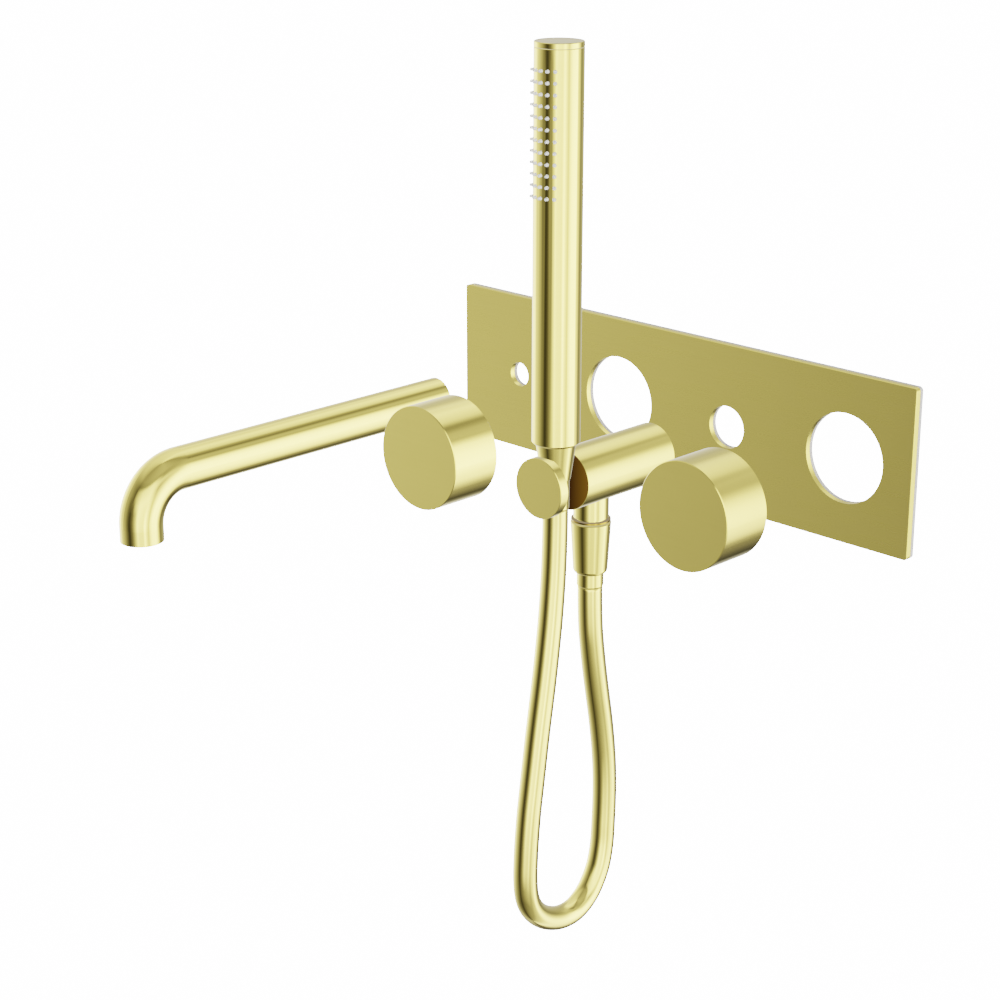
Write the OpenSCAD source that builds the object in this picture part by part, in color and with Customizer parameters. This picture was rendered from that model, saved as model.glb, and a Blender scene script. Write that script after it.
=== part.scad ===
// Wall-mounted bath tap trim set: a four-hole plate, a long spout, two knobs and a hand shower.
// The pieces stand off the wall plate along its holes. Millimetres.
// +X runs right along the plate, +Y into the wall, +Z up. The origin is the middle of the back face.

/* [Wall plate] */
// Width of the plate
plate_w = 350; // [300:1:400]
// Height of the plate
plate_h = 100; // [80:1:130]
// Thickness of the gold plate
plate_t = 3.3; // [2:0.1:6]
// Thickness of the adhesive layer
tape_t = 0.3; // [0.2:0.1:1]
// Thickness of the grey backing board
backing_t = 2.4; // [1:0.1:5]
// Corner radius of the plate
plate_corner = 2.5; // [1:0.5:10]
// Bevel along the plate's front edges
plate_bevel = 0.4; // [0.1:0.1:1]
// Distance between neighbouring holes
hole_pitch = 85.1; // [75:0.1:95]
// Shift of the hole row from the plate's middle
hole_shift = 1.3; // [0:0.1:5]
// Radius of the spout's hole
spout_hole_r = 7.8; // [6:0.1:12]
// Radius of the two valve holes
valve_hole_r = 26.5; // [20:0.1:30]
// Radius of the shower outlet's hole
holder_hole_r = 12.9; // [9:0.1:16]

/* [Spout] */
// Outer radius of the spout tube
spout_r = 12.3; // [9:0.1:16]
// Wall of the spout tube
spout_wall = 1.5; // [1:0.1:3]
// Y of the spout's rear end
spout_rear = -79.2; // [-120:0.1:-6.3]
// Distance from the rear end to the outlet's axis
spout_reach = 226.8; // [150:0.1:260]
// Radius of the bend's centre line
spout_bend = 27; // [20:0.5:40]
// How far the outlet hangs under the tube's axis
spout_fall = 35.8; // [30:0.1:60]
// How far the spout and its hole sit under the plate's middle
spout_drop = 1.2; // [0:0.1:3]
// Radius of the push-on socket
spout_socket_r = 6.5; // [5:0.1:9]
// Depth of the push-on socket
spout_socket_l = 20; // [15:1:30]

/* [Knobs] */
// Outer radius of a knob
knob_r = 30.1; // [25:0.1:35]
// Length of a knob
knob_l = 32.6; // [25:0.1:45]
// Wall of the knob's skirt
knob_wall = 3; // [2:0.1:5]
// Thickness of the knob's face
knob_face = 3.2; // [2:0.1:6]
// Y of the left knob's face
left_front = -175; // [-200:0.1:-40]
// Y of the right knob's face
right_front = -146.4; // [-200:0.1:-40]
// Bore for the valve spindle
spindle_r = 4; // [3:0.1:6]
// Depth of the hub inside the knob
hub_l = 13.8; // [10:0.1:20]

/* [Shower holder] */
// Radius of the holder's arm
holder_r = 17; // [14:0.1:20]
// Y of the holder's front face
holder_front = -166.2; // [-200:0.1:-100]
// Y of the holder's rear end
holder_rear = -72.6; // [-120:0.1:-6.3]
// Half width of the slot the hose slips through
slot_half = 8.2; // [7.5:0.1:10]
// Y of the cradle's axis
cradle_y = -152.6; // [-170:0.1:-130]
// Y of the outlet's axis
outlet_y = -123.5; // [-140:0.1:-100]
// Radius of the outlet stub
stub_r = 10; // [8:0.1:12]
// Radius of the push-on socket
holder_socket_r = 9.5; // [7:0.1:12]
// Depth of the push-on socket
holder_socket_l = 20; // [15:1:30]

/* [Hose] */
// Radius of the hose
hose_r = 7.1; // [5:0.1:9]

/* [Hand shower] */
// Outer radius of the handset
handset_r = 13.25; // [10:0.05:16]
// Z of the handset's lower end
handset_bottom = 23.1; // [20:0.1:40]
// Z of the handset's top
handset_top = 238.2; // [180:0.1:280]
// Wall of the handset tube
handset_wall = 1.5; // [1:0.1:3]
// Thickness of the end cap's rim
cap_t = 2.8; // [1:0.1:6]
// Rows of spray nozzles
nozzle_rows = 12; // [6:1:16]
// Distance between nozzle rows
nozzle_pitch = 5.95; // [4:0.05:9]
// Radius of a spray nozzle
nozzle_r = 0.9; // [0.6:0.1:1.5]
// How far a nozzle stands out
nozzle_out = 2; // [0.5:0.1:3]

/* [Hidden] */
$fn = 72;
round_fn = 120; // sides of the widest rounds
cut = 1; // how far a cutting shape runs past what it cuts
edge = 0.3; // small bevel on turned edges
port_r = 4.4; // water way through the shower's fittings

front = -(plate_t + tape_t + backing_t);
tape_y = -(tape_t + backing_t);
tape_inset = 0.5;
holes_x = [for (i = [-1.5, -0.5, 0.5, 1.5]) hole_shift + i * hole_pitch];
spout_x = holes_x[0];
left_x = holes_x[1];
holder_x = holes_x[2];
right_x = holes_x[3];
hole_r = [spout_hole_r, valve_hole_r, holder_hole_r, valve_hole_r];
hole_z = [-spout_drop, 0, 0, 0];

spout_z = -spout_drop;
spout_in = spout_r - spout_wall;
spout_y = spout_rear - spout_reach;
bend_y = spout_y + spout_bend;
outlet_z = spout_z - spout_fall;
recess = 0.3; // how far the push-on sockets sit inside their tubes
adaptor_y = spout_rear - recess;
adaptor_l = 26;
spout_bore = 4.5;

// O-ring grooves of the push-on sockets, by distance from the mouth.
groove_at = [5, 10];
groove_w = 2.2;
groove_deep = 1.95;
o_ring_r = 0.93;
o_ring_out = 1; // from the socket's bore to the middle of the O-ring's section

screw_r = 2;
screw_point = 0.4; // height and narrowing of a screw's point, as a share of its radius
hex_r = 1.15;
hex_deep = 2.2;
set_screw_at = 15.5; // from the socket's mouth
set_screw_back = 0.2; // clear of the pipe
spout_screw_l = 5.3;
holder_screw_l = 6.9;
knob_screw_l = 7.2;

housing_z = 0.8;
housing_in = 9.2;
housing_h = 7.2;
insert_z = 1.4;
insert_h = 5;
insert_rings = 3;
insert_pitch = 2.6;
insert_hole_r = 0.9;
aerator_seal_t = 0.8;
aerator_seal_in = 8.4;

knob_in = knob_r - knob_wall;
boss_r = 12;
boss_in = 8;
boss_end = knob_face + hub_l;
knob_bevel = 0.4;
screw_at = 10.6;
screw_access = 0.4; // extra radius of the hole through the skirt
spindle_gap = 0.3;
ring_r = knob_in - 0.08;
ring_in = 22.5;
ring_l = 6;
ring_gap = 2;
key_w = 6;
key_deep = 1.6;
key_l = 2.5;

sleeve_r = 13;
sleeve_y = holder_rear - recess;
sleeve_l = 26;
water_r = 5;
port_back = 3; // how far the water way runs past the outlet's axis
spigot_r = 8.5;
spigot_top = -8;
stub_bottom = -26;
stub_l = 14;
neck_r = 8.6;
neck_bottom = -39;
stub_in = 6.5;
valve_bottom = -22;
valve_l = 13;
valve_t = 1.5;
valve_in = 5;
valve_seat_r = 3.6;
valve_mouth_r = 3;
poppet_z = 2;
poppet_l = 8.2;
poppet_t = 1.7;
poppet_r = 4.4;
poppet_stem_r = 1.2;
dress_r = 11.2;
ring_top = -27;
ring_bottom = -28;
outlet_seal_t = 2;
outlet_seal_r = 8;
play = 0.1; // between a nut and what it turns on
nut_top = -28.9;
nut_bottom = -59;
nut_r1 = 11.4;
nut_r2 = 9.6;
nut_round = [[0.15, 1.8], [-0.35, 0.7], [-1.1, 0]]; // lower edge, from nut_r2 and nut_bottom
nut_step = -44;
stem_r = 5.5;
flange_r = 8.3;
flange_gap = 0.4;
bush_in = 3.5;
collar_r = 7.6;
collar_end = -67;
collar_bevel = 0.4;

cone_top = 22.8;
cone_end = 3;
cone_r1 = 11;
cone_r2 = 8.2;
cone_in = 7.7;
cone_step = 8;
tail_r = 5;
tail_end = -14;
tail_flange_r = 7.4;
tail_flange_t = 2;
inlet_seal_t = 1.9;
inlet_seal_gap = 0.1;
limiter_at = 9; // above the cone nut's shoulder
limiter_h = 4;
limiter_holes = 5;
limiter_hole_r = 0.8;
limiter_hole_at = 2.8;
inlet_bore = 4;
inlet_foot = 4;
inlet_funnel = 17;
inlet_shoulder = 1.5;
cradle_gap = 0.35;
cradle_low = 8.1;

shell_in = handset_r - handset_wall;
shell_top = handset_top - cap_t - edge;
shell_bevel = 1.2;
shell_lip = 0.2;
spray_top = 224;
spray_angles = [-35:17.5:35];
strip_in = 10.7;
strip_span = 90;
nozzle_root = 0.3;
nozzle_play = 0.15;
fit = 0.05; // between the tube's bore and what slides into it
channel_r = 9.4;
channel_in = 7.6;
inlet_top = 42;
cap_low = shell_top - 7;
channel_top = cap_low - 2;
channel_end_t = 1.5;
cap_groove = [2.2, 4.2];
cap_groove_deep = 2;
cap_seal_r = 0.9;

// Route of the hose in the plane of the holder, as [y, z], from the outlet to the handset.
hose_route = [
    [-123.5, -67], [-123.2, -80], [-122.4, -94], [-120.6, -108], [-118.4, -122], [-115.9, -136],
    [-113.3, -150], [-111.1, -164], [-109.4, -178], [-108.5, -192], [-108.4, -206], [-108.9, -220],
    [-109.8, -234], [-112.6, -247], [-117.6, -257], [-124.2, -264.6], [-133.5, -269.6],
    [-144, -270.2], [-154, -267.2], [-163, -261.6], [-169.8, -254], [-173.6, -245], [-174.9, -233],
    [-174.5, -219], [-173.5, -205], [-172, -191], [-170, -177], [-168, -163], [-166, -149],
    [-163.8, -135], [-161.5, -121], [-159.4, -107], [-157.5, -93], [-155.8, -79], [-154.5, -65],
    [-153.5, -51], [-152.9, -37], [-152.6, -24], [-152.6, tail_end]
];
hose_sides = 12;

// ---- helpers ----

// Puts a child's +Z along +Y.
module along_y(x, y, z = 0) {
    translate([x, y, z])
        rotate([-90, 0, 0])
            children();
}

module ring(r_out, r_in, h) {
    difference() {
        cylinder(r = r_out, h = h);
        translate([0, 0, -cut])
            cylinder(r = r_in, h = h + 2 * cut);
    }
}

module o_ring(r_mid, r_sec) {
    rotate_extrude()
        translate([r_mid, 0])
            circle(r = r_sec, $fn = 32);
}

// A headless screw standing on +Z, socket end at the top.
module set_screw(h) {
    point = screw_r * screw_point;
    difference() {
        union() {
            cylinder(r1 = screw_r - point, r2 = screw_r, h = point);
            translate([0, 0, point])
                cylinder(r = screw_r, h = h - point);
        }
        translate([0, 0, h - hex_deep])
            cylinder(r = hex_r, h = hex_deep + cut, $fn = 6);
    }
}

// Points of one O-ring groove, in a profile that runs back towards the mouth of its socket.
function groove(r, d) = [
    [r, d + groove_w / 2], [r + groove_deep, d + groove_w / 2],
    [r + groove_deep, d - groove_w / 2], [r, d - groove_w / 2]
];

// ---- wall plate ----

module plate_outline(w, h, c) {
    square([w - 2 * c, h], center = true);
    square([w, h - 2 * c], center = true);
    for (sx = [-1, 1], sz = [-1, 1])
        translate([sx * (w / 2 - c), sz * (h / 2 - c)])
            circle(r = c);
}

module plate_holes(more) {
    for (i = [0:3])
        translate([holes_x[i], hole_z[i]])
            circle(r = hole_r[i] + more, $fn = round_fn);
}

// A flat layer of the plate, from y0 into the wall.
module layer(y0, t, inset, more) {
    translate([0, y0, 0])
        rotate([90, 0, 0])
            mirror([0, 0, 1])
                linear_extrude(height = t)
                    difference() {
                        plate_outline(plate_w - 2 * inset, plate_h - 2 * inset, plate_corner);
                        plate_holes(more);
                    }
}

// Prism with a bevelled front edge on both sides of the span.
module bevelled_span(span, depth, run) {
    translate([0, 0, -run / 2])
        linear_extrude(height = run)
            polygon([
                [-span / 2, depth], [-span / 2, plate_bevel], [-span / 2 + plate_bevel, 0],
                [span / 2 - plate_bevel, 0], [span / 2, plate_bevel], [span / 2, depth]
            ]);
}

module wall_plate() {
    color([0.70, 0.63, 0.37])
        intersection() {
            layer(front, plate_t, 0, 0);
            translate([0, front, 0])
                bevelled_span(plate_w, plate_t + cut, plate_h + 2 * cut);
            translate([0, front, 0])
                rotate([0, 90, 0])
                    bevelled_span(plate_h, plate_t + cut, plate_w + 2 * cut);
        }
}

module plate_tape() {
    color([0.15, 0.15, 0.15])
        layer(tape_y, tape_t, tape_inset, tape_inset);
}

module plate_backing() {
    color([0.75, 0.73, 0.70])
        layer(-backing_t, backing_t, 0, 0);
}

// ---- spout ----

module spout_leg(r, more) {
    translate([spout_x, spout_y, outlet_z - more])
        cylinder(r = r, h = spout_fall - spout_bend + 2 * more);
}

module spout_turn(r) {
    translate([spout_x, bend_y, spout_z - spout_bend])
        rotate([180, -90, 0])
            rotate_extrude(angle = 90)
                translate([spout_bend, 0])
                    circle(r = r);
}

module spout_straight(r, more) {
    along_y(spout_x, bend_y - more, spout_z)
        cylinder(r = r, h = spout_rear - bend_y + 2 * more);
}

module spout_screw_hole() {
    translate([spout_x, adaptor_y - set_screw_at, spout_z - spout_r - cut])
        cylinder(r = screw_r, h = spout_r - spout_socket_r + 2 * cut);
}

module spout_tube() {
    color([0.70, 0.63, 0.37]) {
        difference() {
            spout_straight(spout_r, 0);
            spout_straight(spout_in, cut);
            spout_screw_hole();
        }
        difference() {
            spout_turn(spout_r);
            spout_turn(spout_in);
        }
        difference() {
            spout_leg(spout_r, 0);
            spout_leg(spout_in, cut);
        }
    }
}

module spout_adaptor() {
    color([0.78, 0.62, 0.30])
        difference() {
            along_y(spout_x, adaptor_y, spout_z)
                rotate([180, 0, 0])
                    rotate_extrude()
                        polygon([
                            [spout_socket_r, 0], [spout_in, 0], [spout_in, adaptor_l],
                            [spout_bore, adaptor_l], [spout_bore, spout_socket_l],
                            [spout_socket_r, spout_socket_l], each groove(spout_socket_r, groove_at[1]),
                            each groove(spout_socket_r, groove_at[0])
                        ]);
            spout_screw_hole();
        }
}

module spout_o_rings() {
    color([0.1, 0.1, 0.1])
        for (d = groove_at)
            along_y(spout_x, adaptor_y - d, spout_z)
                o_ring(spout_socket_r + o_ring_out, o_ring_r);
}

module spout_set_screw() {
    color([0.6, 0.6, 0.62])
        translate([spout_x, adaptor_y - set_screw_at, spout_z - spout_socket_r - set_screw_back])
            rotate([180, 0, 0])
                set_screw(spout_screw_l);
}

module aerator_housing() {
    color([0.85, 0.85, 0.85])
        translate([spout_x, spout_y, outlet_z + housing_z])
            ring(spout_in, housing_in, housing_h);
}

module aerator_insert() {
    color([0.93, 0.93, 0.93])
        translate([spout_x, spout_y, outlet_z + insert_z])
            difference() {
                cylinder(r = housing_in, h = insert_h);
                translate([0, 0, -cut])
                    cylinder(r = insert_hole_r, h = insert_h + 2 * cut);
                for (k = [1:insert_rings], a = [0:60 / k:359])
                    rotate([0, 0, a])
                        translate([insert_pitch * k, 0, -cut])
                            cylinder(r = insert_hole_r, h = insert_h + 2 * cut);
            }
}

module aerator_washer() {
    color([0.1, 0.1, 0.1])
        translate([spout_x, spout_y, outlet_z + housing_z + housing_h])
            ring(spout_in, aerator_seal_in, aerator_seal_t);
}

// ---- knobs, drawn with +Z from the face towards the wall ----

// The screw hole opens downwards, which is +Y before the knob is laid along the wall's normal.
module knob_screw_hole(r0, r1, r) {
    translate([0, r0, screw_at])
        rotate([-90, 0, 0])
            cylinder(r = r, h = r1 - r0);
}

module knob_shell() {
    color([0.70, 0.63, 0.37])
        difference() {
            rotate_extrude($fn = round_fn)
                polygon([
                    [0, 0], [knob_r - knob_bevel, 0], [knob_r, knob_bevel], [knob_r, knob_l - edge],
                    [knob_r - edge, knob_l], [knob_in, knob_l], [knob_in, knob_face],
                    [boss_r, knob_face], [boss_r, boss_end], [boss_in, boss_end],
                    [boss_in, knob_face], [0, knob_face]
                ]);
            knob_screw_hole(boss_in - cut, boss_r + cut, screw_r);
            knob_screw_hole(knob_in - cut, knob_r + cut, screw_r + screw_access);
        }
}

module knob_hub() {
    color([0.9, 0.9, 0.88])
        difference() {
            translate([0, 0, knob_face])
                ring(boss_in, spindle_r, hub_l);
            knob_screw_hole(spindle_r - cut, boss_in + cut, screw_r);
        }
}

module knob_screw() {
    color([0.6, 0.6, 0.62])
        translate([0, spindle_r + spindle_gap, screw_at])
            rotate([-90, 0, 0])
                set_screw(knob_screw_l);
}

module stop_ring() {
    color([0.25, 0.25, 0.25])
        translate([0, 0, knob_l - ring_gap - ring_l])
            difference() {
                ring(ring_r, ring_in, ring_l);
                for (a = [0:120:359])
                    rotate([0, 0, a + 90])
                        translate([ring_in - cut, -key_w / 2, -cut])
                            cube([key_deep + cut, key_w, key_l + cut]);
            }
}

module left_knob_shell() {
    along_y(left_x, left_front)
        knob_shell();
}

module left_knob_hub() {
    along_y(left_x, left_front)
        knob_hub();
}

module left_knob_screw() {
    along_y(left_x, left_front)
        knob_screw();
}

module left_stop_ring() {
    along_y(left_x, left_front)
        stop_ring();
}

module right_knob_shell() {
    along_y(right_x, right_front)
        knob_shell();
}

module right_knob_hub() {
    along_y(right_x, right_front)
        knob_hub();
}

module right_knob_screw() {
    along_y(right_x, right_front)
        knob_screw();
}

module right_stop_ring() {
    along_y(right_x, right_front)
        stop_ring();
}

// ---- shower holder ----

module holder_screw_hole() {
    translate([holder_x, sleeve_y - set_screw_at, -holder_r - cut])
        cylinder(r = screw_r, h = holder_r - holder_socket_r + 2 * cut);
}

module holder_body() {
    color([0.70, 0.63, 0.37])
        difference() {
            along_y(holder_x, holder_front)
                rotate_extrude($fn = round_fn)
                    polygon([
                        [0, 0], [holder_r - edge, 0], [holder_r, edge],
                        [holder_r, holder_rear - holder_front - edge],
                        [holder_r - edge, holder_rear - holder_front], [0, holder_rear - holder_front]
                    ]);
            translate([holder_x, cradle_y, -holder_r - cut])
                cylinder(r = cradle_low, h = 2 * (holder_r + cut));
            translate([holder_x, cradle_y, cone_end])
                cylinder(r1 = cone_r2 + cradle_gap, r2 = cone_r1 + cradle_gap, h = cone_top - cone_end);
            translate([holder_x, cradle_y - slot_half, -holder_r - cut])
                cube([holder_r + cut, 2 * slot_half, 2 * (holder_r + cut)]);
            along_y(holder_x, sleeve_y - sleeve_l)
                cylinder(r = sleeve_r, h = sleeve_l + cut);
            along_y(holder_x, outlet_y - port_back)
                cylinder(r = water_r, h = sleeve_y - sleeve_l - outlet_y + port_back + cut);
            translate([holder_x, outlet_y, -holder_r - cut])
                cylinder(r = spigot_r, h = holder_r + cut + spigot_top);
            translate([holder_x, outlet_y, spigot_top - cut])
                cylinder(r = port_r, h = cut - spigot_top);
            holder_screw_hole();
        }
}

module holder_adaptor() {
    color([0.78, 0.62, 0.30])
        difference() {
            along_y(holder_x, sleeve_y)
                rotate([180, 0, 0])
                    rotate_extrude()
                        polygon([
                            [holder_socket_r, 0], [sleeve_r, 0], [sleeve_r, sleeve_l],
                            [water_r, sleeve_l], [water_r, holder_socket_l],
                            [holder_socket_r, holder_socket_l], each groove(holder_socket_r, groove_at[1]),
                            each groove(holder_socket_r, groove_at[0])
                        ]);
            holder_screw_hole();
        }
}

module holder_o_rings() {
    color([0.1, 0.1, 0.1])
        for (d = groove_at)
            along_y(holder_x, sleeve_y - d)
                o_ring(holder_socket_r + o_ring_out, o_ring_r);
}

module holder_set_screw() {
    color([0.6, 0.6, 0.62])
        translate([holder_x, sleeve_y - set_screw_at, -holder_socket_r - set_screw_back])
            rotate([180, 0, 0])
                set_screw(holder_screw_l);
}

module outlet_stub() {
    color([0.72, 0.65, 0.38])
        difference() {
            union() {
                difference() {
                    translate([holder_x, outlet_y, stub_bottom])
                        cylinder(r = stub_r, h = stub_l);
                    along_y(holder_x, outlet_y - holder_r)
                        cylinder(r = holder_r, h = 2 * holder_r, $fn = round_fn);
                }
                translate([holder_x, outlet_y, neck_bottom])
                    cylinder(r = spigot_r, h = spigot_top - neck_bottom);
                translate([holder_x, outlet_y, neck_bottom])
                    cylinder(r = neck_r, h = stub_bottom - neck_bottom + cut);
            }
            translate([holder_x, outlet_y, valve_bottom])
                cylinder(r = stub_in, h = spigot_top - valve_bottom + cut);
            translate([holder_x, outlet_y, neck_bottom - cut])
                cylinder(r = port_r, h = valve_bottom - neck_bottom + 2 * cut);
        }
}

module check_valve() {
    color([0.2, 0.35, 0.6])
        translate([holder_x, outlet_y, valve_bottom])
            rotate_extrude()
                polygon([
                    [valve_seat_r, 0], [stub_in, 0], [stub_in, valve_l], [valve_mouth_r, valve_l],
                    [valve_mouth_r, valve_l - valve_t], [valve_in, valve_l - valve_t],
                    [valve_in, valve_t], [valve_seat_r, valve_t]
                ]);
}

module check_valve_poppet() {
    color([0.9, 0.9, 0.9])
        translate([holder_x, outlet_y, valve_bottom + poppet_z])
            rotate_extrude()
                polygon([
                    [0, 0], [poppet_stem_r, 0], [poppet_stem_r, poppet_l - poppet_t],
                    [poppet_r, poppet_l - poppet_t], [poppet_r, poppet_l], [0, poppet_l]
                ]);
}

module outlet_dress_ring() {
    color([0.72, 0.65, 0.38])
        translate([holder_x, outlet_y, ring_bottom])
            ring(dress_r, neck_r, ring_top - ring_bottom);
}

module outlet_washer() {
    color([0.1, 0.1, 0.1])
        translate([holder_x, outlet_y, neck_bottom - outlet_seal_t])
            ring(outlet_seal_r, port_r, outlet_seal_t);
}

module outlet_cone_nut() {
    color([0.72, 0.65, 0.38])
        translate([holder_x, outlet_y, 0])
            rotate_extrude()
                polygon([
                    [neck_r + play, nut_top], [nut_r1 - edge, nut_top], [nut_r1, nut_top - edge],
                    each [for (p = nut_round) [nut_r2 + p[0], nut_bottom + p[1]]],
                    [stem_r + play, nut_bottom], [stem_r + play, nut_step], [neck_r + play, nut_step]
                ]);
}

module outlet_ferrule() {
    color([0.72, 0.65, 0.38])
        translate([holder_x, outlet_y, 0])
            rotate_extrude()
                polygon([
                    [bush_in, neck_bottom - outlet_seal_t], [flange_r, neck_bottom - outlet_seal_t],
                    [flange_r, nut_step + flange_gap], [stem_r, nut_step + flange_gap],
                    [stem_r, nut_bottom - edge], [collar_r, nut_bottom - edge],
                    [collar_r, collar_end + collar_bevel], [collar_r - collar_bevel, collar_end],
                    [bush_in, collar_end]
                ]);
}

// ---- hose ----

// Direction of the hose at a point of its route; both ends run straight into their ferrules.
function along(d) = d / norm(d);
function heading(i) = i == 0 ? [0, -1]
    : i == len(hose_route) - 1 ? [0, 1]
    : along(hose_route[i + 1] - hose_route[i - 1]);
function hose_ring(c, t) = [
    for (k = [0:hose_sides - 1])
        let (a = 360 * k / hose_sides)
            [holder_x + hose_r * cos(a), c[0] + hose_r * sin(a) * t[1], c[1] - hose_r * sin(a) * t[0]]
];

module hose() {
    n = hose_sides;
    last = len(hose_route) - 1;
    color([0.72, 0.65, 0.38])
        polyhedron(
            points = [for (i = [0:last]) each hose_ring(hose_route[i], heading(i))],
            faces = concat(
                [[for (k = [0:n - 1]) k]],
                [[for (k = [n - 1:-1:0]) last * n + k]],
                [for (i = [0:last - 1], k = [0:n - 1])
                    [i * n + k, (i + 1) * n + k, (i + 1) * n + (k + 1) % n]],
                [for (i = [0:last - 1], k = [0:n - 1])
                    [i * n + k, (i + 1) * n + (k + 1) % n, i * n + (k + 1) % n]]
            )
        );
}

// ---- hand shower ----

module handset_ferrule() {
    color([0.72, 0.65, 0.38])
        translate([holder_x, cradle_y, 0])
            rotate_extrude()
                polygon([
                    [bush_in, cone_step + tail_flange_t], [tail_flange_r, cone_step + tail_flange_t],
                    [tail_flange_r, cone_step + edge], [tail_r, cone_step + edge],
                    [tail_r, cone_end - collar_bevel], [collar_r, cone_end - collar_bevel],
                    [collar_r, tail_end + collar_bevel], [collar_r - collar_bevel, tail_end],
                    [bush_in, tail_end]
                ]);
}

module handset_cone_nut() {
    color([0.72, 0.65, 0.38])
        translate([holder_x, cradle_y, 0])
            rotate_extrude()
                polygon([
                    [cone_in, cone_top], [cone_r1, cone_top], [cone_r2, cone_end],
                    [tail_r + play, cone_end], [tail_r + play, cone_step], [cone_in, cone_step]
                ]);
}

module handset_washer() {
    color([0.1, 0.1, 0.1])
        translate([holder_x, cradle_y, cone_step + tail_flange_t + inlet_seal_gap])
            ring(cone_in, port_r, inlet_seal_t);
}

module flow_limiter() {
    color([0.2, 0.5, 0.3])
        translate([holder_x, cradle_y, cone_step + limiter_at])
            difference() {
                cylinder(r = tail_r, h = limiter_h);
                for (a = [0:360 / limiter_holes:359])
                    rotate([0, 0, a])
                        translate([limiter_hole_at, 0, -cut])
                            cylinder(r = limiter_hole_r, h = limiter_h + 2 * cut);
            }
}

module handset_inlet() {
    color([0.78, 0.62, 0.30])
        translate([holder_x, cradle_y, 0])
            rotate_extrude()
                polygon([
                    [inlet_bore, cone_step + inlet_foot], [cone_in, cone_step + inlet_foot],
                    [cone_in, cone_top + inlet_shoulder], [shell_in, cone_top + inlet_shoulder],
                    [shell_in, inlet_top], [channel_in, inlet_top],
                    [channel_in, cone_step + inlet_funnel], [tail_r, cone_step + limiter_at + limiter_h],
                    [tail_r, cone_step + limiter_at], [inlet_bore, cone_step + limiter_at]
                ]);
}

// The spray side faces -Y.
module spray_grid() {
    for (i = [0:nozzle_rows - 1], a = spray_angles)
        translate([holder_x, cradle_y, spray_top - i * nozzle_pitch])
            rotate([90, 0, a])
                children();
}

module handset_tube() {
    color([0.72, 0.65, 0.38])
        difference() {
            translate([holder_x, cradle_y, 0])
                rotate_extrude()
                    polygon([
                        [shell_in, handset_bottom], [handset_r - shell_bevel, handset_bottom],
                        [handset_r, handset_bottom + shell_bevel], [handset_r, shell_top - shell_lip],
                        [handset_r - shell_lip, shell_top], [shell_in, shell_top]
                    ]);
            spray_grid()
                translate([0, 0, shell_in - cut])
                    cylinder(r = nozzle_r + nozzle_play, h = handset_wall + 2 * cut, $fn = 24);
        }
}

module water_channel() {
    color([0.93, 0.93, 0.93])
        translate([holder_x, cradle_y, 0])
            rotate_extrude()
                polygon([
                    [channel_in, inlet_top], [channel_r, inlet_top], [channel_r, channel_top],
                    [0, channel_top], [0, channel_top - channel_end_t],
                    [channel_in, channel_top - channel_end_t]
                ]);
}

module nozzle_strip() {
    z0 = spray_top - (nozzle_rows - 0.5) * nozzle_pitch;
    z1 = spray_top + 0.5 * nozzle_pitch;
    color([0.92, 0.94, 0.95]) {
        translate([holder_x, cradle_y, z0])
            rotate([0, 0, -90 - strip_span / 2])
                rotate_extrude(angle = strip_span)
                    translate([strip_in, 0])
                        square([shell_in - fit - strip_in, z1 - z0]);
        spray_grid()
            translate([0, 0, strip_in + nozzle_root])
                cylinder(r = nozzle_r, h = handset_r + nozzle_out - strip_in - nozzle_root, $fn = 24);
    }
}

module cap_seal() {
    color([0.1, 0.1, 0.1])
        translate([holder_x, cradle_y, cap_low + (cap_groove[0] + cap_groove[1]) / 2])
            o_ring(shell_in - cap_groove_deep / 2, cap_seal_r);
}

module handset_cap() {
    color([0.72, 0.65, 0.38])
        translate([holder_x, cradle_y, 0])
            rotate_extrude()
                polygon([
                    [0, cap_low], [shell_in - fit, cap_low], [shell_in - fit, cap_low + cap_groove[0]],
                    [shell_in - cap_groove_deep, cap_low + cap_groove[0]],
                    [shell_in - cap_groove_deep, cap_low + cap_groove[1]],
                    [shell_in - fit, cap_low + cap_groove[1]], [shell_in - fit, handset_top - cap_t],
                    [handset_r, handset_top - cap_t], [handset_r, handset_top - edge],
                    [handset_r - edge, handset_top], [0, handset_top]
                ]);
}

wall_plate();
plate_tape();
plate_backing();
spout_tube();
spout_adaptor();
spout_o_rings();
spout_set_screw();
aerator_housing();
aerator_insert();
aerator_washer();
left_knob_shell();
left_knob_hub();
left_knob_screw();
left_stop_ring();
right_knob_shell();
right_knob_hub();
right_knob_screw();
right_stop_ring();
holder_body();
holder_adaptor();
holder_o_rings();
holder_set_screw();
outlet_stub();
check_valve();
check_valve_poppet();
outlet_dress_ring();
outlet_washer();
outlet_cone_nut();
outlet_ferrule();
hose();
handset_ferrule();
handset_cone_nut();
handset_washer();
flow_limiter();
handset_inlet();
handset_tube();
water_channel();
nozzle_strip();
cap_seal();
handset_cap();
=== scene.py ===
import math

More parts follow.
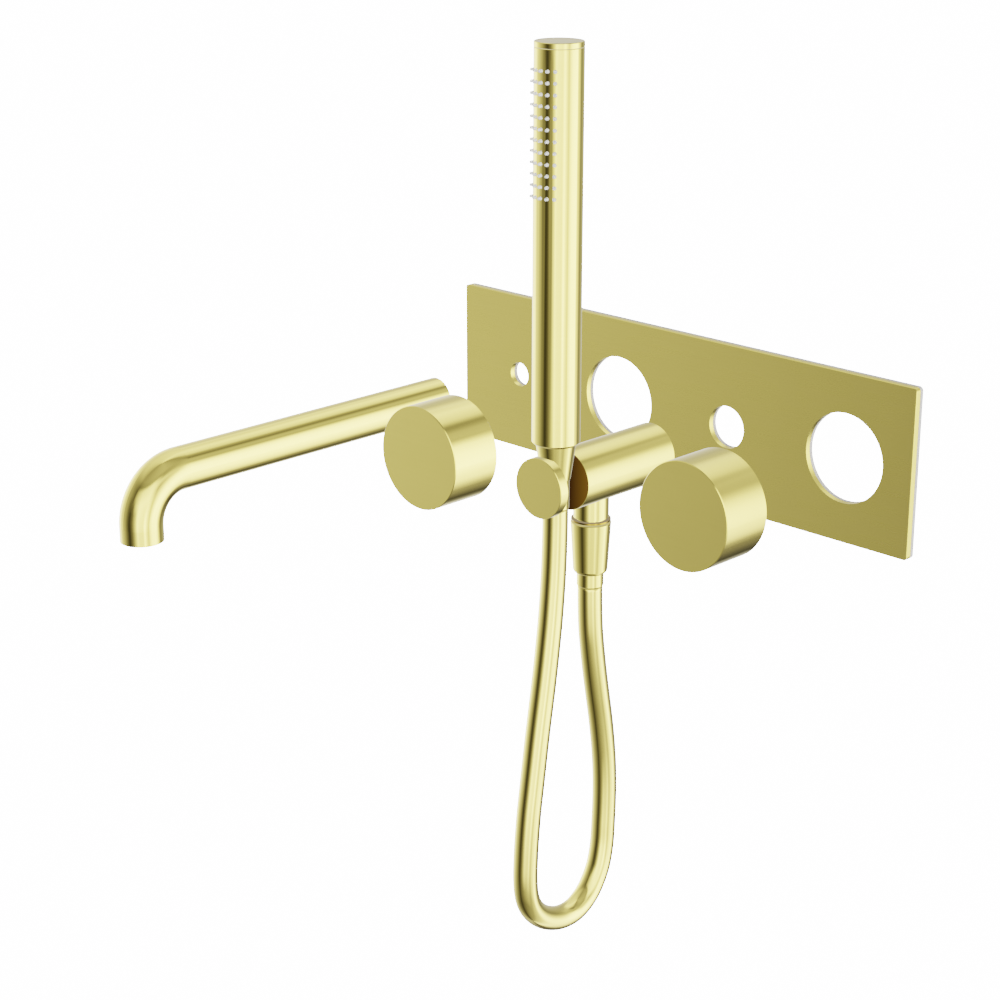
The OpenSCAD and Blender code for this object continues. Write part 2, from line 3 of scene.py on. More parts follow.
import bmesh
import bpy
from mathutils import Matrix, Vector
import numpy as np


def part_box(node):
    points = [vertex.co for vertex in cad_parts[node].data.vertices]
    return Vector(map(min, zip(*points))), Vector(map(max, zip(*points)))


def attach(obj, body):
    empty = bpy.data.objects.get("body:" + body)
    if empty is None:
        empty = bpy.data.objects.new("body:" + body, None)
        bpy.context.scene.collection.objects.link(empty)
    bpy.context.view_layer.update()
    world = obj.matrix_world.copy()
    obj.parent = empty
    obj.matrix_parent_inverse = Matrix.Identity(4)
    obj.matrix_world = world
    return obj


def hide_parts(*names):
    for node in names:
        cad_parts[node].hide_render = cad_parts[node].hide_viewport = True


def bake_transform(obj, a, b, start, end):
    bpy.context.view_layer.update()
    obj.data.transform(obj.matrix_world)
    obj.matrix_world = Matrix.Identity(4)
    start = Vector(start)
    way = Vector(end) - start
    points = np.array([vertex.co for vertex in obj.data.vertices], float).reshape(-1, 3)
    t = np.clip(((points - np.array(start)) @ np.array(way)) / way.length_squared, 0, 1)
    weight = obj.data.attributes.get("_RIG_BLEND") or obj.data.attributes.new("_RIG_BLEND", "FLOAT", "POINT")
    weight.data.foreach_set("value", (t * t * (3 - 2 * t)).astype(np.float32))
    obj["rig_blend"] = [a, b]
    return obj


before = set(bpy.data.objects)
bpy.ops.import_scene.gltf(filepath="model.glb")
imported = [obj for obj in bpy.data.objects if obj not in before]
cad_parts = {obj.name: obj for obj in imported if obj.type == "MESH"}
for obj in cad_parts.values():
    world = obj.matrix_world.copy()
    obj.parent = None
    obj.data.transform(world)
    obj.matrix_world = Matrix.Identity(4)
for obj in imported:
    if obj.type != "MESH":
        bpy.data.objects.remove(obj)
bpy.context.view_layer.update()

scene = bpy.context.scene

# ---- camera ----

CAMERA_AT = (0.8280, -0.9876, 0.3821)
CAMERA_AZIMUTH = math.radians(44.76)
CAMERA_ELEVATION = math.radians(18.89)
CAMERA_LENS = 79.72  # millimetres
CAMERA_SENSOR = 36  # millimetres
CAMERA_SHIFT = 0.00165  # share of the picture's width


def make_camera():
    """The camera, which looks straight along its azimuth and elevation."""
    data = bpy.data.cameras.new("camera")
    data.lens = CAMERA_LENS
    data.sensor_width = CAMERA_SENSOR
    data.shift_x = CAMERA_SHIFT
    camera = bpy.data.objects.new("camera", data)
    back = Vector((
        math.sin(CAMERA_AZIMUTH) * math.cos(CAMERA_ELEVATION),
        -math.cos(CAMERA_AZIMUTH) * math.cos(CAMERA_ELEVATION),
        math.sin(CAMERA_ELEVATION),
    ))
    camera.location = CAMERA_AT
    camera.rotation_mode = "QUATERNION"
    camera.rotation_quaternion = (-back).to_track_quat("-Z", "Y")
    scene.collection.objects.link(camera)
    scene.camera = camera


# ---- light ----

# A soft studio surround: for each elevation, (azimuth from +X towards +Y, strength of the light),
# in degrees, with even changes in between.
LIGHT = {
    -50: [
        (0, 0.5), (30, 1.5), (47, 3.5), (56, 2.6), (66, 1.6), (76, 0.5), (91, 0.25), (105, 0.08),
        (120, 0.08), (150, 0.5), (180, 0.8), (225, 0.2), (260, 0.04), (340, 0.4),
    ],
    -35: [
        (0, 0.6), (28, 1.5), (42, 4.6), (56, 3.3), (63, 1.7), (69, 0.4), (76, 0.15), (92, 0.05),
        (107, 0.06), (118, 0.5), (130, 1.6), (180, 1.6), (215, 0.6), (234, 0.3), (260, 0.04),
        (290, 0.3), (340, 1),
    ],
    -15: [
        (0, 2), (9, 4.4), (20, 6.3), (43, 6.3), (50, 4.2), (57, 2.2), (66, 0.9), (74, 0.25),
        (96, 0.6), (121, 0.9), (150, 2.4), (168, 3.8), (190, 4), (200, 2.1), (208, 1.6),
        (215, 1.2), (222, 0.9), (234, 0.48), (241, 0.25), (248, 0.14), (256, 0.04), (264, 0.06),
        (276, 0.22), (285, 0.7), (295, 2.1), (303, 4.3), (313, 3.4), (331, 3.2), (340, 6.2),
        (349, 3.4),
    ],
    5: [
        (0, 1.6), (22, 4), (36, 6), (44, 5), (50, 3.4), (57, 2), (66, 0.7), (75, 0.3),
        (100, 0.6), (121, 0.7), (135, 1), (150, 2.4), (168, 3.8), (190, 3.4), (208, 1.4),
        (222, 0.8), (234, 0.45), (248, 0.14), (260, 0.05), (276, 0.2), (290, 1.2), (303, 4.2),
        (331, 3.4), (345, 4),
    ],
    17: [
        (0, 0.8), (24, 2), (37, 4.3), (44, 4), (50, 2.6), (54, 2), (60, 1), (75, 0.5),
        (100, 0.6), (121, 0.6), (135, 0.8), (150, 2), (180, 2.4), (208, 1.2), (222, 0.7),
        (248, 0.14), (272, 0.2), (303, 4), (340, 4),
    ],
    28: [
        (0, 2), (40, 0.9), (46, 0.7), (52, 1), (60, 0.8), (70, 0.95), (80, 1), (95, 0.7),
        (117, 0.8), (135, 1), (150, 1.6), (180, 1.6), (208, 1), (225, 0.5), (260, 0.1), (303, 3),
        (340, 3.4),
    ],
    37: [
        (0, 0.6), (40, 0.8), (63, 0.85), (72, 1), (84, 1.1), (100, 1.3), (117, 2.2), (130, 2),
        (180, 1.2), (225, 0.4), (260, 0.1), (303, 2.5), (340, 3),
    ],
    44: [
        (0, 0.5), (46, 0.7), (54, 0.2), (63, 0.25), (71, 0.35), (78, 0.9), (84, 1.6), (95, 2.1),
        (110, 2.7), (123, 1.7), (180, 1.4), (225, 0.5), (260, 0.15), (331, 0.6),
    ],
    54: [
        (0, 0.8), (55, 0.4), (63, 0.6), (71, 1), (77, 1.7), (93, 2.2), (104, 2.6), (120, 2),
        (180, 1.6), (260, 0.4),
    ],
}
BRIGHTEST = 7  # at least the table's highest strength, because a ramp's levels end at 1
BACKGROUND = 13  # strength of the white that the camera sees
WHITE = (1, 1, 1, 1)


# Sockets of a Mix node that mixes colours: share, first colour, second colour, and the result.
MIX_INPUTS = (0, 6, 7)
MIX_OUTPUT = 2


class Tree:
    """A node tree with one-line calls for the nodes that this scene uses."""

    def __init__(self, tree):
        self.tree = tree

    def node(self, kind, **settings):
        made = self.tree.nodes.new(kind)
        for key, value in settings.items():
            setattr(made, key, value)
        return made

    def put(self, value, socket):
        """Links a socket to this one, or sets this one to a number, vector or colour."""
        if isinstance(value, bpy.types.NodeSocket):
            self.tree.links.new(value, socket)
        else:
            socket.default_value = value

    def math(self, operation, a, b=0.0):
        made = self.node("ShaderNodeMath", operation=operation)
        self.put(a, made.inputs[0])
        self.put(b, made.inputs[1])
        return made.outputs[0]

    def vector(self, operation, a, b=(0, 0, 0)):
        made = self.node("ShaderNodeVectorMath", operation=operation)
        self.put(a, made.inputs[0])
        self.put(b, made.inputs[1])
        return made.outputs["Vector"]

    def combine(self, x, y, z):
        made = self.node("ShaderNodeCombineXYZ")
        for socket, value in zip(made.inputs, (x, y, z)):
            self.put(value, socket)
        return made.outputs[0]

    def mean(self, a, b):
        return self.math("MULTIPLY", self.math("ADD", a, b), 0.5)

    def split(self, vector):
        made = self.node("ShaderNodeSeparateXYZ")
        self.put(vector, made.inputs[0])
        return made.outputs

    def mix(self, share, a, b):
        """Colour a, going over to b as share goes from 0 to 1."""
        made = self.node("ShaderNodeMix", data_type="RGBA")
        for index, value in zip(MIX_INPUTS, (share, a, b)):
            self.put(value, made.inputs[index])
        return made.outputs[MIX_OUTPUT]

    def remap(self, value, low, high, to_low=0.0, to_high=1.0):
        """The value scaled from low..high to to_low..to_high, and held at both ends."""
        made = self.node("ShaderNodeMapRange")
        for socket, x in zip(made.inputs, (value, low, high, to_low, to_high)):
            self.put(x, socket)
        return made.outputs[0]


def light_row(t, turn, row):
    """The light of one elevation, from a ramp that runs from azimuth -180 to 180."""
    node = t.node("ShaderNodeValToRGB")
    stops = sorted(((azimuth + 180) % 360 / 360, strength / BRIGHTEST) for azimuth, strength in row)
    (first, low), (last, high) = stops[0], stops[-1]
    seam = low + (high - low) * first / (first + 1 - last)  # both ends of the ramp meet here
    node.color_ramp.elements[0].color = (seam, seam, seam, 1)
    node.color_ramp.elements[1].color = (seam, seam, seam, 1)
    for place, level in stops:
        if 0 < place < 1:
            node.color_ramp.elements.new(place).color = (level, level, level, 1)
    t.put(turn, node.inputs[0])
    return node.outputs[0]


def make_world():
    """The studio: the light table for every ray but the camera's own, which sees plain white."""
    world = bpy.data.worlds.new("studio")
    world.use_nodes = True
    scene.world = world
    t = Tree(world.node_tree)
    t.tree.nodes.clear()
    x, y, z = t.split(t.node("ShaderNodeTexCoord").outputs["Generated"])
    turn = t.remap(t.math("ARCTAN2", y, x), -math.pi, math.pi)
    elevation = t.math("ARCSINE", z)
    heights = sorted(LIGHT)
    light = light_row(t, turn, LIGHT[heights[0]])
    for low, high in zip(heights, heights[1:]):
        share = t.remap(elevation, math.radians(low), math.radians(high))
        light = t.mix(share, light, light_row(t, turn, LIGHT[high]))
    lit = t.node("ShaderNodeBackground")
    t.put(light, lit.inputs["Color"])
    lit.inputs["Strength"].default_value = BRIGHTEST
    plain = t.node("ShaderNodeBackground")
    plain.inputs["Color"].default_value = WHITE
    plain.inputs["Strength"].default_value = BACKGROUND
    mix = t.node("ShaderNodeMixShader")
    t.put(t.node("ShaderNodeLightPath").outputs["Is Camera Ray"], mix.inputs[0])
    t.put(lit.outputs[0], mix.inputs[1])
    t.put(plain.outputs[0], mix.inputs[2])
    t.put(mix.outputs[0], t.node("ShaderNodeOutputWorld").inputs["Surface"])


# ---- floor ----

FLOOR_Z = -1.75
FLOOR_HALF = 20  # metres, from the middle to a side
FLOOR_GREY = (0.92, 0.92, 0.92, 1)
FLOOR_ROUGHNESS = 0.9


def make_floor():
    """A pale floor, which gives off the same white that the camera sees behind it."""
    mesh = bpy.data.meshes.new("floor")
    corners = [(-1, -1), (1, -1), (1, 1), (-1, 1)]
    verts = [(x * FLOOR_HALF, y * FLOOR_HALF, FLOOR_Z) for x, y in corners]
    mesh.from_pydata(verts, [], [(0, 1, 2, 3)])
    floor = bpy.data.objects.new("floor", mesh)
    scene.collection.objects.link(floor)
    floor.visible_glossy = False
    floor.visible_diffuse = False
    mat = bpy.data.materials.new("pale_floor")
    mat.use_nodes = True
    shader = mat.node_tree.nodes["Principled BSDF"]
    shader.inputs["Base Color"].default_value = FLOOR_GREY
    shader.inputs["Roughness"].default_value = FLOOR_ROUGHNESS
    shader.inputs["Emission Color"].default_value = WHITE
    shader.inputs["Emission Strength"].default_value = BACKGROUND
    mesh.materials.append(mat)


# ---- places and sizes from the CAD model ----

MM_PER_METRE = 1000
HOLDER_X = 0.04385  # middle of the holder, the handset and the hose
HOLDER_RADIUS = 0.017
CRADLE_Y = -0.1526  # middle of the holder's slot, where the handset hangs
SLOT_HALF = 0.0082
# The spout's bend: (y, z) of its centre, and the radius of the tube's middle line.
SPOUT_BEND = (-0.279, -0.0282)
SPOUT_BEND_RADIUS = 0.027

# ---- materials ----

GOLD = (0.92, 0.735, 0.17)
# Painted shade on the cradle's walls goes from the first of these to the second, over this reach from its
# middle.
CRADLE_SHADE_DARK = (0.02, 0.004, 0.0004, 1)
CRADLE_SHADE_WARM = (0.21, 0.1, 0.008, 1)
CRADLE_SHADE_FADE = (0.001, 0.015)
SKIN = 0.0002  # how far a painted wall may lie from its exact place
# The painted shade along the dress ring's edges, where it meets the stub and the nut: its colour, and its
# width.
RING_EDGE_SHADE = (0.3, 0.19, 0.03, 1)
RING_SHADE_WIDTH = 0.0006
# Grain of each metal finish, as lumps to the metre along X, Y and Z.
BRUSHED_ALONG_X = (22, 300, 1300)
TURNED_ABOUT_Y = (24, 1300, 24)
TURNED_ABOUT_Z = (22, 22, 700)
SLOW_CHANGE = (35, 35, 35)
GRAIN_DEPTH = 0.00002
GRAIN_SHADE = 0.9  # darkest marks, as a share of the plain gold
NOISE_ROUGHNESS = 0.6
NOISE_RANGE = (0.3, 0.7)  # nearly all of a noise lies between these
# A face counts as square to Y by this much of its normal's Y: from not at all to fully.
FACING = (0.8, 0.95)


class Finish(Tree):
    """A material on a Principled shader, with patterns laid in the frame's own metres."""

    def __init__(self, name, sockets):
        self.material = bpy.data.materials.new(name)
        self.material.use_nodes = True
        super().__init__(self.material.node_tree)
        self.shader = self.tree.nodes["Principled BSDF"]
        for key, value in sockets.items():
            self.shader.inputs[key].default_value = value
        coordinates = self.node("ShaderNodeTexCoord")
        self.place = coordinates.outputs["Object"]
        self.normal = coordinates.outputs["Normal"]

    def noise(self, lumps, detail=3.0, place=None):
        """Noise from 0 to 1 with that many lumps to the metre along X, Y and Z."""
        made = self.node("ShaderNodeTexNoise", noise_dimensions="3D")
        self.put(self.vector("MULTIPLY", place or self.place, lumps), made.inputs["Vector"])
        made.inputs["Scale"].default_value = 1
        made.inputs["Detail"].default_value = detail
        made.inputs["Roughness"].default_value = NOISE_ROUGHNESS
        return made.outputs[0]

    def colour(self, factor, low, high):
        """The shader's colour, from low to high by factor."""
        self.put(self.mix(factor, (*low, 1), (*high, 1)), self.shader.inputs["Base Color"])

    def rough(self, factor, low, high):
        """The shader's roughness, from low to high by factor."""
        self.put(self.remap(factor, *NOISE_RANGE, low, high), self.shader.inputs["Roughness"])

    def bump(self, height, depth, strength):
        """Relief by height, depth metres deep."""
        made = self.node("ShaderNodeBump")
        made.inputs["Strength"].default_value = strength
        made.inputs["Distance"].default_value = depth
        self.put(height, made.inputs["Height"])
        self.put(made.outputs[0], self.shader.inputs["Normal"])

    def gold(self, grain, smoothest, roughest, relief, painted_shade=None):
        """Brushed gold: grain marks over slow changes of shade. The optional last argument is (where,
        colour) of painted shade laid over the gold.
        """
        cloud = self.noise(SLOW_CHANGE, detail=2)
        self.colour(self.math("MULTIPLY", grain, cloud), GOLD, shade(GOLD, GRAIN_SHADE))
        # lay the painted shade over the gold where its mask says
        if painted_shade:
            plain = self.shader.inputs["Base Color"].links[0].from_socket
            where, shade_colour = painted_shade
            self.put(self.mix(where, plain, shade_colour), self.shader.inputs["Base Color"])
        self.rough(grain, smoothest, roughest)
        self.bump(grain, GRAIN_DEPTH, relief)


def shade(colour, factor):
    """The colour made darker or lighter by a factor."""
    return tuple(min(1.0, c * factor) for c in colour)


def plate_gold():
    """Straight brushing along X on the faces of the plate."""
    f = Finish("plate_gold_finish", {"Metallic": 1, "Anisotropic": 0.5})
    f.gold(f.noise(BRUSHED_ALONG_X), smoothest=0.22, roughest=0.28, relief=0.15)
    f.put(f.combine(0, 0, 1), f.shader.inputs["Tangent"])
    return f.material


def cradle_painted_shade(f):
    """Painted shade on the walls inside the holder's cradle: deep gold, warmer towards its +X side."""
    x, y, z = f.split(f.place)
    across = f.math("ABSOLUTE", f.math("SUBTRACT", y, CRADLE_Y))
    aside = f.math("SUBTRACT", x, HOLDER_X)
    squares = f.math("ADD", f.math("MULTIPLY", aside, aside), f.math("MULTIPLY", z, z))
    in_slot = f.math("LESS_THAN", across, SLOT_HALF + SKIN)
    in_arm = f.math("LESS_THAN", f.math("SQRT", squares), HOLDER_RADIUS - SKIN)
    # painted shade: darkest at the -X side of the slot, warmer towards +X
    colour = f.mix(f.remap(aside, *CRADLE_SHADE_FADE), CRADLE_SHADE_DARK, CRADLE_SHADE_WARM)
    return f.math("MULTIPLY", in_slot, in_arm), colour


def brushed_gold(painted_shade=None):
    """Turned gold: fine rings round the Y axis, and straight brushing on faces square to it."""
    f = Finish("brushed_gold_finish", {"Metallic": 1, "Anisotropic": 0.4})
    facing = f.remap(f.math("ABSOLUTE", f.split(f.normal)["Y"]), *FACING)
    turned = f.math("SUBTRACT", 1, facing)
    rings = f.math("MULTIPLY", f.noise(TURNED_ABOUT_Y), turned)
    straight = f.math("MULTIPLY", f.noise(BRUSHED_ALONG_X), facing)
    grain = f.math("ADD", rings, straight)
    f.gold(grain, smoothest=0.08, roughest=0.12, relief=0.12, painted_shade=painted_shade and painted_shade(f))
    f.put(f.combine(0, turned, facing), f.shader.inputs["Tangent"])
    return f.material


def spout_gold():
    """The brushed gold of the spout, whose rings follow the tube round its bend."""
    f = Finish("spout_gold_finish", {"Metallic": 1, "Anisotropic": 0.4})
    centre_y, centre_z = SPOUT_BEND
    x, y, z = f.split(f.place)
    out_y = f.math("MINIMUM", f.math("SUBTRACT", y, centre_y), 0)
    out_z = f.math("MAXIMUM", f.math("SUBTRACT", z, centre_z), 0)
    turn = f.math("MULTIPLY", f.math("ARCTAN2", out_y, out_z), SPOUT_BEND_RADIUS)
    straight = f.math("SUBTRACT", f.math("MAXIMUM", y, centre_y), f.math("MINIMUM", z, centre_z))
    travel = f.math("ADD", straight, turn)
    rings = f.noise(TURNED_ABOUT_Y, place=f.combine(x, travel, z))
    f.gold(rings, smoothest=0.08, roughest=0.12, relief=0.12)
    along = f.vector("CROSS_PRODUCT", (1, 0, 0), f.combine(0, out_y, out_z))
    f.put(f.vector("NORMALIZE", along), f.shader.inputs["Tangent"])
    return f.material


def ring_edge_shade(f):
    """Painted shade along both edges of the outlet's dress ring, by the stub and by the nut."""
    low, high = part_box("outlet_dress_ring")
    z = f.split(f.place)["Z"]
    lower = f.math("LESS_THAN", z, low.z + RING_SHADE_WIDTH)
    upper = f.math("GREATER_THAN", z, high.z - RING_SHADE_WIDTH)
    # where the painted shade lies, and its colour
    return f.math("MAXIMUM", lower, upper), RING_EDGE_SHADE


def satin_gold(painted_shade=None):
    """Satin gold with faint rings round the Z axis."""
    f = Finish("satin_gold_finish", {"Metallic": 1})
    rings = f.noise(TURNED_ABOUT_Z)
    f.gold(rings, smoothest=0.07, roughest=0.1, relief=0.05, painted_shade=painted_shade and painted_shade(f))
    return f.material


def hose_gold():
    """A clear sleeve over a gold foil, whose fine grain barely shows."""
    sockets = {"Metallic": 1, "Coat Weight": 0.25, "Coat Roughness": 0.08}
    f = Finish("hose_gold_finish", sockets)
    f.gold(f.noise((300, 300, 1400), detail=2), smoothest=0.09, roughest=0.12, relief=0.05)
    return f.material


def raw_brass():
    """Bare turned brass with tool marks and a faint tarnish."""
    f = Finish("raw_brass_finish", {"Metallic": 1})
    marks = f.noise((25, 2200, 2200), detail=2)
    tarnish = f.noise((90, 90, 90), detail=4)
    f.colour(tarnish, (0.78, 0.55, 0.20), (0.58, 0.37, 0.13))
    f.rough(f.mean(marks, tarnish), 0.22, 0.4)
    f.bump(marks, depth=0.00003, strength=0.4)
    return f.material


def steel():
    """Drawn steel with fine marks across its length."""
    f = Finish("steel_finish", {"Metallic": 1})
    marks = f.noise((3000, 3000, 500), detail=2)
    f.colour(marks, (0.55, 0.55, 0.57), (0.68, 0.68, 0.70))
    f.rough(marks, 0.2, 0.35)
    f.bump(marks, depth=0.00002, strength=0.3)
    return f.material


def backing_grey():
    """Pressed board: pale grey with a fibrous grain."""
    f = Finish("backing_grey_finish", {"Metallic": 0, "Specular IOR Level": 0.3})
    fibre = f.noise((900, 900, 2600), detail=5)
    blotch = f.noise((60, 60, 60), detail=3)
    f.colour(f.mean(fibre, blotch), (0.42, 0.41, 0.39), (0.62, 0.60, 0.57))
    f.rough(fibre, 0.65, 0.85)
    f.bump(fibre, depth=0.00006, strength=0.6)
    return f.material


def black_tape():
    """Closed-cell foam tape."""
    f = Finish("black_tape_finish", {"Metallic": 0})
    voronoi = f.node("ShaderNodeTexVoronoi")
    f.put(f.vector("MULTIPLY", f.place, (4000, 4000, 4000)), voronoi.inputs["Vector"])
    voronoi.inputs["Scale"].default_value = 1
    cells = voronoi.outputs["Distance"]
    f.colour(cells, (0.012, 0.012, 0.013), (0.035, 0.035, 0.036))
    f.rough(cells, 0.75, 0.95)
    f.bump(cells, depth=0.00008, strength=0.6)
    return f.material


def black_rubber():
    """Moulded rubber with a faint bloom."""
    f = Finish("black_rubber_finish", {"Metallic": 0, "Specular IOR Level": 0.4})
    bloom = f.noise((500, 500, 500), detail=4)
    f.colour(bloom, (0.010, 0.010, 0.011), (0.032, 0.032, 0.034))
    f.rough(bloom, 0.45, 0.65)
    f.bump(f.noise((6000, 6000, 6000), detail=2), depth=0.00003, strength=0.4)
    return f.material


def clear_silicone():
    """Soft translucent silicone, a little cloudy."""
    sockets = {"Metallic": 0, "Transmission Weight": 0.2, "IOR": 1.43}
    f = Finish("clear_silicone_finish", sockets)
    haze = f.noise((700, 700, 700), detail=3)
    f.colour(haze, (0.88, 0.88, 0.88), (0.97, 0.97, 0.97))
    f.rough(haze, 0.16, 0.26)
    f.bump(haze, depth=0.00004, strength=0.3)
    return f.material


def moulded(name, colour):
    """Injection-moulded plastic: a fine spark-eroded skin with slow changes of shade."""
    f = Finish(name, {"Metallic": 0, "Specular IOR Level": 0.45})
    skin = f.noise((3500, 3500, 3500), detail=2)
    flow = f.noise((80, 80, 80), detail=3)
    f.colour(flow, shade(colour, 0.88), shade(colour, 1.06))
    f.rough(skin, 0.38, 0.55)
    f.bump(skin, depth=0.00003, strength=0.35)
    return f.material


FINISHES = {
    "brushed_gold": brushed_gold(),
    "satin_gold": satin_gold(),
    "hose_gold": hose_gold(),
    "raw_brass": raw_brass(),
    "backing_grey": backing_grey(),
    "black_tape": black_tape(),
    "black_rubber": black_rubber(),
    "clear_silicone": clear_silicone(),
    "white_plastic": moulded("white_plastic_finish", (0.80, 0.80, 0.77)),
    "black_plastic": moulded("black_plastic_finish", (0.035, 0.035, 0.037)),
    "blue_plastic": moulded("blue_plastic_finish", (0.03, 0.10, 0.36)),
    "green_plastic": moulded("green_plastic_finish", (0.02, 0.22, 0.08)),
    "steel": steel(),
}


# Finishes that fit one CAD node alone.
OWN_FINISHES = {
    "spout_tube": spout_gold(),
    "wall_plate": plate_gold(),
    # The holder's cradle and the dress ring's edges get painted shade over their gold.
    "holder_body": brushed_gold(cradle_painted_shade),
    "outlet_dress_ring": satin_gold(ring_edge_shade),
}


def finish_cad_nodes():
    """Each CAD node comes in with one material, named after its slot in the record."""
    for name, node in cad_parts.items():
        for part in node.material_slots:
            slot = part.material.name.split(".")[0]
            part.material = OWN_FINISHES.get(name) or FINISHES[slot]
        node.visible_glossy = False  # each piece reflects the studio alone, not its neighbours


# ---- spray nozzles ----

NOZZLE_ROWS = 12
NOZZLE_ANGLES = (-35, -17.5, 0, 17.5, 35)  # round the handset, in degrees from its -Y side
NOZZLE_SIDES = 20
STRIP_IN = 0.0107  # the strip's two radii round the handset's axis
STRIP_OUT = 0.0117
STRIP_HALF = math.radians(45)  # how far the strip reaches to each side of -Y
STRIP_STEPS = 36
NOZZLE_SHARP = math.radians(50)  # edges sharper than this stay sharp
# Half a section of a nozzle: (distance from the handset's axis, radius), in millimetres.
NOZZLE_PROFILE = [
    (11.6, 0.95), (12.4, 0.95), (13.3, 0.95), (13.45, 0.93), (13.6, 0.86), (14.3, 0.82),
    (14.75, 0.78), (15.02, 0.68), (15.17, 0.52), (15.22, 0.38), (15.2, 0.3), (15.05, 0.26),
    (14.6, 0.25),
]


def skin_rings(bm, rings):
    """Faces between each ring of vertices and the next, and across the first and the last."""
    for near, far in zip(rings, rings[1:]):
        for k in range(len(near)):
            bm.faces.new((near[k - 1], near[k], far[k], far[k - 1]))
    bm.faces.new(list(reversed(rings[0])))
    bm.faces.new(rings[-1])


def add_nozzle(bm, foot, angle):
    """One nozzle that points away from the handset's axis, which it meets at foot."""
    out = Vector((math.sin(angle), -math.cos(angle), 0))
    side = Vector((math.cos(angle), math.sin(angle), 0))
    turn = [2 * math.pi * k / NOZZLE_SIDES for k in range(NOZZLE_SIDES)]
    rings = []
    for reach, radius in NOZZLE_PROFILE:
        centre = foot + out * reach / MM_PER_METRE
        spokes = [side * math.cos(t) + Vector((0, 0, math.sin(t))) for t in turn]
        rings.append([bm.verts.new(centre + spoke * radius / MM_PER_METRE) for spoke in spokes])
    skin_rings(bm, rings)


def add_strip(bm, axis, bottom, top):
    """The strip that the nozzles stand on, bent round the handset's axis."""
    corners = ((STRIP_IN, bottom), (STRIP_OUT, bottom), (STRIP_OUT, top), (STRIP_IN, top))
    sections = []
    for i in range(STRIP_STEPS + 1):
        angle = STRIP_HALF * (2 * i / STRIP_STEPS - 1)
        out = Vector((math.sin(angle), -math.cos(angle), 0))
        sections.append([bm.verts.new(Vector((axis.x, axis.y, z)) + out * r) for r, z in corners])
    skin_rings(bm, sections)


def make_nozzles(mat):
    """The silicone strip inside the handset, with its rounded, bored nozzles."""
    low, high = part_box("nozzle_strip")
    pitch = (high.z - low.z) / NOZZLE_ROWS
    tube_low, tube_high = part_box("handset_tube")
    axis = (tube_low + tube_high) / 2
    bm = bmesh.new()
    for row in range(NOZZLE_ROWS):
        foot = Vector((axis.x, axis.y, high.z - (row + 0.5) * pitch))
        for angle in NOZZLE_ANGLES:
            add_nozzle(bm, foot, math.radians(angle))
    add_strip(bm, axis, low.z, high.z)
    bmesh.ops.recalc_face_normals(bm, faces=bm.faces)
    mesh = bpy.data.meshes.new("spray_nozzles")
    bm.to_mesh(mesh)
    bm.free()
    mesh.shade_smooth()
    mesh.set_sharp_from_angle(angle=NOZZLE_SHARP)
    mesh.materials.append(mat)
    nozzles = bpy.data.objects.new("spray_nozzles", mesh)
    scene.collection.objects.link(nozzles)
    nozzles.visible_glossy = False
    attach(nozzles, "handset")
    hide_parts("nozzle_strip")


# ---- hose ----

HOSE_RADIUS = 0.0071
HOSE_SIDES = 40
HOSE_STEPS = 6  # rings for each step of the route
# The hose's middle line in the plane x = HOLDER_X, as (y, z) in millimetres, from the outlet to
# the handset.
HOSE_ROUTE = [
    (-123.5, -67), (-123.2, -80), (-122.4, -94), (-120.6, -108), (-118.4, -122), (-115.9, -136),
    (-113.3, -150), (-111.1, -164), (-109.4, -178), (-108.5, -192), (-108.4, -206), (-108.9, -220),
    (-109.8, -234), (-112.6, -247), (-117.6, -257), (-124.2, -264.6), (-133.5, -269.6),
    (-144, -270.2), (-154, -267.2), (-163, -261.6), (-169.8, -254), (-173.6, -245), (-174.9, -233),
    (-174.5, -219), (-173.5, -205), (-172, -191), (-170, -177), (-168, -163), (-166, -149),
    (-163.8, -135), (-161.5, -121), (-159.4, -107), (-157.5, -93), (-155.8, -79), (-154.5, -65),
    (-153.5, -51), (-152.9, -37), (-152.6, -24), (-152.6, -14),
]


def catmull_rom(points, steps):
    """A smooth line through the points, which leaves the first and reaches the last straight."""
    padded = [2 * points[0] - points[1]] + points + [2 * points[-1] - points[-2]]
    line = []
    for a, b, c, d in zip(padded, padded[1:], padded[2:], padded[3:]):
        for i in range(steps):
            u = i / steps
            line.append(0.5 * (2 * b + (c - a) * u + (2 * a - 5 * b + 4 * c - d) * u * u
                               + (3 * b - a - 3 * c + d) * u ** 3))
    return line + [points[-1]]


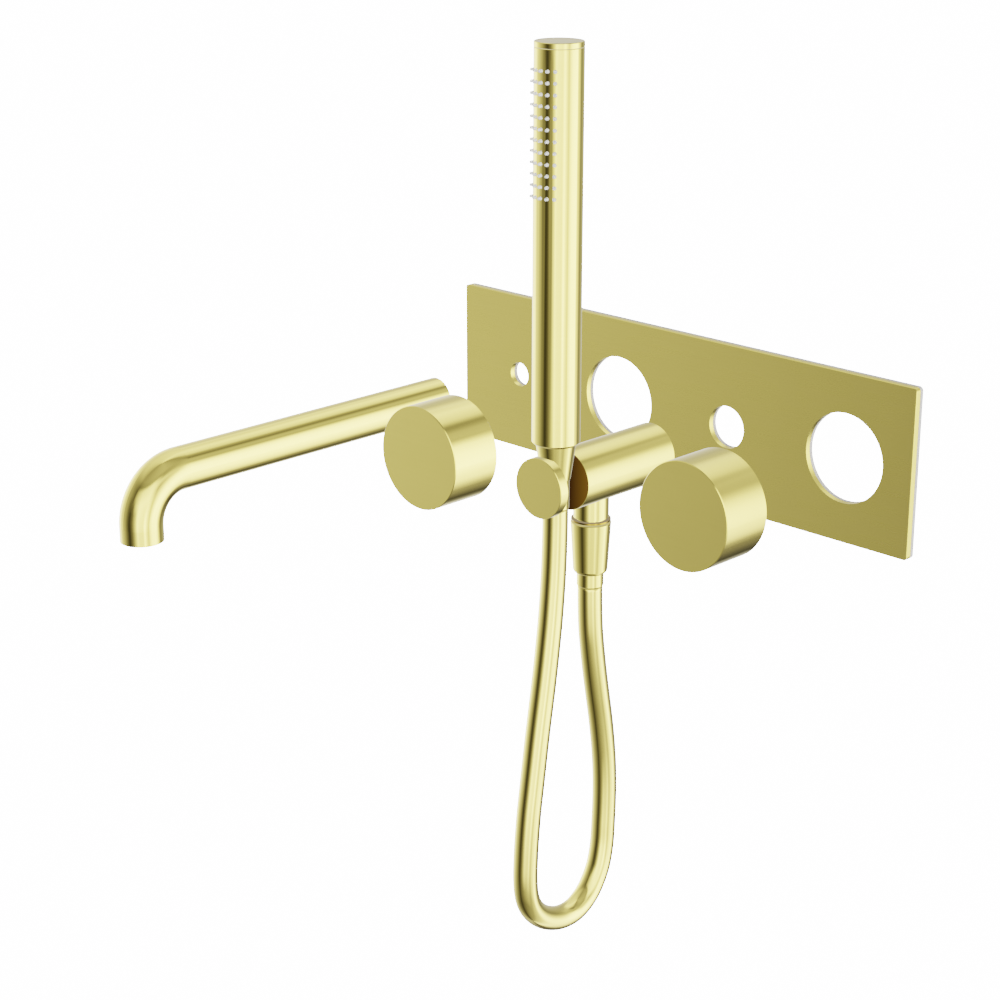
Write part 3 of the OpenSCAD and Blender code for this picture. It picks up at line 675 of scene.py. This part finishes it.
def hose_rings(line):
    """Rings of points square to the line, which starts straight down and ends straight up."""
    across = Vector((1, 0, 0))
    verts = []
    for i, centre in enumerate(line):
        ahead = (line[min(i + 1, len(line) - 1)] - line[max(i - 1, 0)]).normalized()
        if i == 0:
            ahead = Vector((0, 0, -1))
        if i == len(line) - 1:
            ahead = Vector((0, 0, 1))
        side = ahead.cross(across)
        for k in range(HOSE_SIDES):
            a = 2 * math.pi * k / HOSE_SIDES
            verts.append(centre + HOSE_RADIUS * (math.cos(a) * across + math.sin(a) * side))
    return verts


def hose_faces(rings):
    """Faces between each ring and the next, then the two ends."""
    n = HOSE_SIDES
    faces = [
        (i * n + k, i * n + (k + 1) % n, (i + 1) * n + (k + 1) % n, (i + 1) * n + k)
        for i in range(rings - 1)
        for k in range(n)
    ]
    last = (rings - 1) * n
    faces.append(tuple(range(n - 1, -1, -1)))
    faces.append(tuple(last + k for k in range(n)))
    return faces


def lift_weights(line):
    """How far each vertex follows the handset: from 0 at the outlet to 1 at the hose's end."""
    run = [0.0]
    for a, b in zip(line, line[1:]):
        run.append(run[-1] + (b - a).length)
    shares = [s / run[-1] for s in run]
    return [t * t * (3 - 2 * t) for t in shares for _ in range(HOSE_SIDES)]


def make_hose(mat):
    """The hose, as one closed tube from the outlet's ferrule to the handset's."""
    route = [Vector((HOLDER_X, y / MM_PER_METRE, z / MM_PER_METRE)) for y, z in HOSE_ROUTE]
    line = catmull_rom(route, HOSE_STEPS)
    mesh = bpy.data.meshes.new("shower_hose")
    mesh.from_pydata(hose_rings(line), [], hose_faces(len(line)))
    for polygon in mesh.polygons[:-2]:
        polygon.use_smooth = True
    mesh.materials.append(mat)
    hose = bpy.data.objects.new("shower_hose", mesh)
    scene.collection.objects.link(hose)
    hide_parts("hose")
    hose.visible_glossy = False
    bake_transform(hose, "holder", "hose_end", start=(0, -0.1306, 0), end=(0, -0.1455, 0))
    # These weights take the place of the ones that bake_transform() made. They share a lift out along
    # the hose, so that one leg shortens, the other grows and the bend keeps its shape.
    mesh.attributes["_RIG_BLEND"].data.foreach_set("value", lift_weights(line))


make_camera()
make_world()
make_floor()
scene.view_settings.view_transform = "Filmic"
finish_cad_nodes()
make_hose(FINISHES["hose_gold"])
make_nozzles(FINISHES["clear_silicone"])
